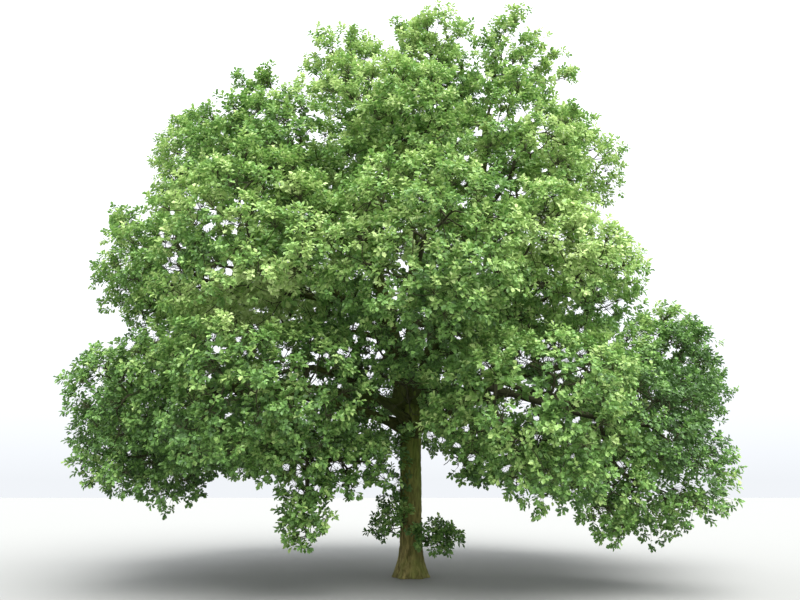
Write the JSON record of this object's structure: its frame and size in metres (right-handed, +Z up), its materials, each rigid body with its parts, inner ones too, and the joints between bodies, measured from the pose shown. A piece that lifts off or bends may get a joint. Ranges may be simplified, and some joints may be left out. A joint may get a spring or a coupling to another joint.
{
  "type": "oak tree",
  "caption": "Open-grown oak in early summer leaf: a short flared trunk, spreading boughs and a broad rounded crown of leafy masses.",
  "frame": {"origin": "centre of the flat cut under the trunk, at ground level", "axes": "+Z up along the trunk, -Y towards the side that faces the viewer, +X to that viewer's right"},
  "size_m": [12.1442, 10.9133, 10.4294],
  "materials": {
    "bark": "grey-brown ridged bark, dull",
    "foliage": "mid-green lobed leaves with a slight sheen"
  },
  "bodies": {
    "root": {"bough_low_back_right": "bark", "bough_low_front": "bark", "bough_low_front_left": "bark", "bough_low_front_right": "bark", "bough_low_left": "bark", "bough_low_left_back": "bark", "bough_low_left_front": "bark", "bough_low_right": "bark", "bough_low_right_back": "bark", "bough_mid_back_left": "bark", "bough_mid_back_right": "bark", "bough_mid_front_left": "bark", "bough_mid_front_right": "bark", "bough_mid_left": "bark", "bough_mid_right": "bark", "bough_upper_front_left": "bark", "bough_upper_front_right": "bark", "bough_upper_left": "bark", "bough_upper_right": "bark", "foliage_low_back_left": "foliage", "foliage_low_back_right": "foliage", "foliage_low_front": "foliage", "foliage_low_front_left": "foliage", "foliage_low_front_right": "foliage", "foliage_low_left": "foliage", "foliage_low_left_back": "foliage", "foliage_low_left_front": "foliage", "foliage_low_right": "foliage", "foliage_low_right_back": "foliage", "foliage_low_right_front": "foliage", "foliage_mid_back_left": "foliage", "foliage_mid_back_right": "foliage", "foliage_mid_front": "foliage", "foliage_mid_front_left": "foliage", "foliage_mid_front_right": "foliage", "foliage_mid_left": "foliage", "foliage_mid_left_front": "foliage", "foliage_mid_right": "foliage", "foliage_mid_right_front": "foliage", "foliage_top_back": "foliage", "foliage_top_front": "foliage", "foliage_top_left": "foliage", "foliage_top_right": "foliage", "foliage_upper_back_left": "foliage", "foliage_upper_back_right": "foliage", "foliage_upper_front": "foliage", "foliage_upper_front_left": "foliage", "foliage_upper_front_right": "foliage", "foliage_upper_left": "foliage", "foliage_upper_right": "foliage", "stem_back": "bark", "stem_left": "bark", "stem_right": "bark", "trunk": "bark", "tuft_hanging": "foliage", "tuft_skirt_left": "foliage", "tuft_skirt_right": "foliage", "tuft_trunk_left": "foliage", "tuft_trunk_right": "foliage"}
  },
  "joints": []
}
